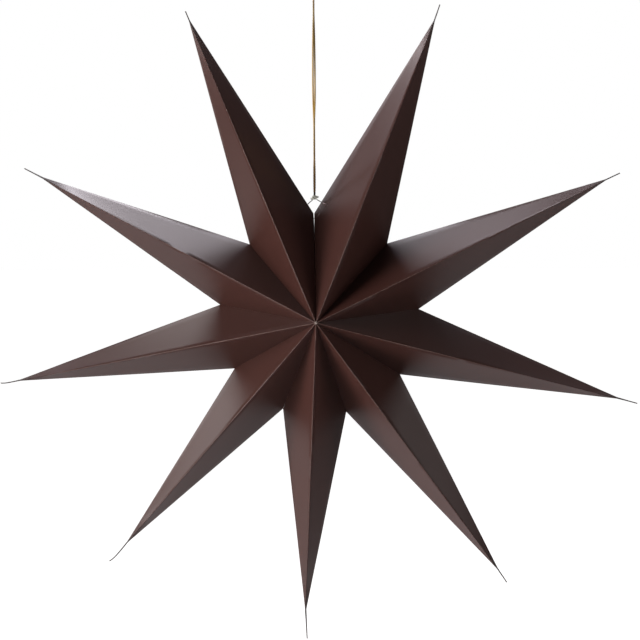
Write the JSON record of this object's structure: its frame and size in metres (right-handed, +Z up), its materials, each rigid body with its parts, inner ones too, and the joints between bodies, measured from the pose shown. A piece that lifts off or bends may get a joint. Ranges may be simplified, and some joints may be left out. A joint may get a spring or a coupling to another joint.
{
  "type": "folded paper star",
  "caption": "Hollow star of folded brown card points, glued side by side round a raised centre, tied at an open seam and hung from a loop of gold cord.",
  "frame": {"origin": "where the loop of the hanging cord lies on its hook", "axes": "+Z up along the hanging cord, the star's front towards -Y, +X to the right as seen from the front"},
  "size_m": [0.6007, 0.1496, 0.6185],
  "materials": {
    "card": "satin coated card",
    "tie": "drawn line, slightly glossy",
    "gold_cord": "twisted metallic yarn"
  },
  "bodies": {
    "root": {"point_1": "card", "point_2": "card", "point_3": "card", "point_4": "card", "point_5": "card", "point_6": "card", "point_7": "card", "point_8": "card", "point_9": "card", "tie_line": "tie", "hanging_cord": "gold_cord"}
  },
  "joints": []
}
